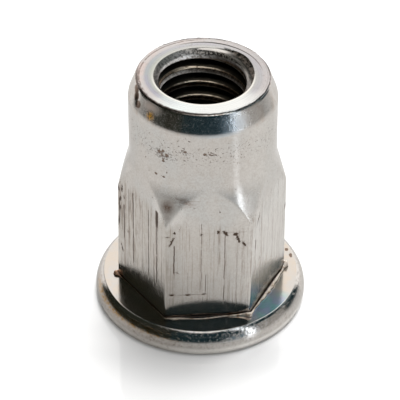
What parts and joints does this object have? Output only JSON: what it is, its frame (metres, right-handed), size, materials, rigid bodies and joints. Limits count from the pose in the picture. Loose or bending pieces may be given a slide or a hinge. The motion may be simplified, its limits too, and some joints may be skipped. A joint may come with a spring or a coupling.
{
  "type": "half-hexagon rivet nut",
  "caption": "Blind rivet nut with a flat flange, a hexagonal lower body, a round upper shank with a tapered lead, and a threaded through bore.",
  "frame": {"origin": "centre of the flange's underside, on the axis of the bore", "axes": "+Z along the bore from the flange to the open threaded end, -Y square to one flat of the hexagon"},
  "size_m": [0.0132, 0.0132, 0.0161],
  "materials": {
    "stainless_steel": "bright cold-formed stainless steel with draw marks along the flats, small pits and a faint heat tint"
  },
  "bodies": {
    "root": {"rivet_nut": "stainless_steel"}
  },
  "joints": []
}
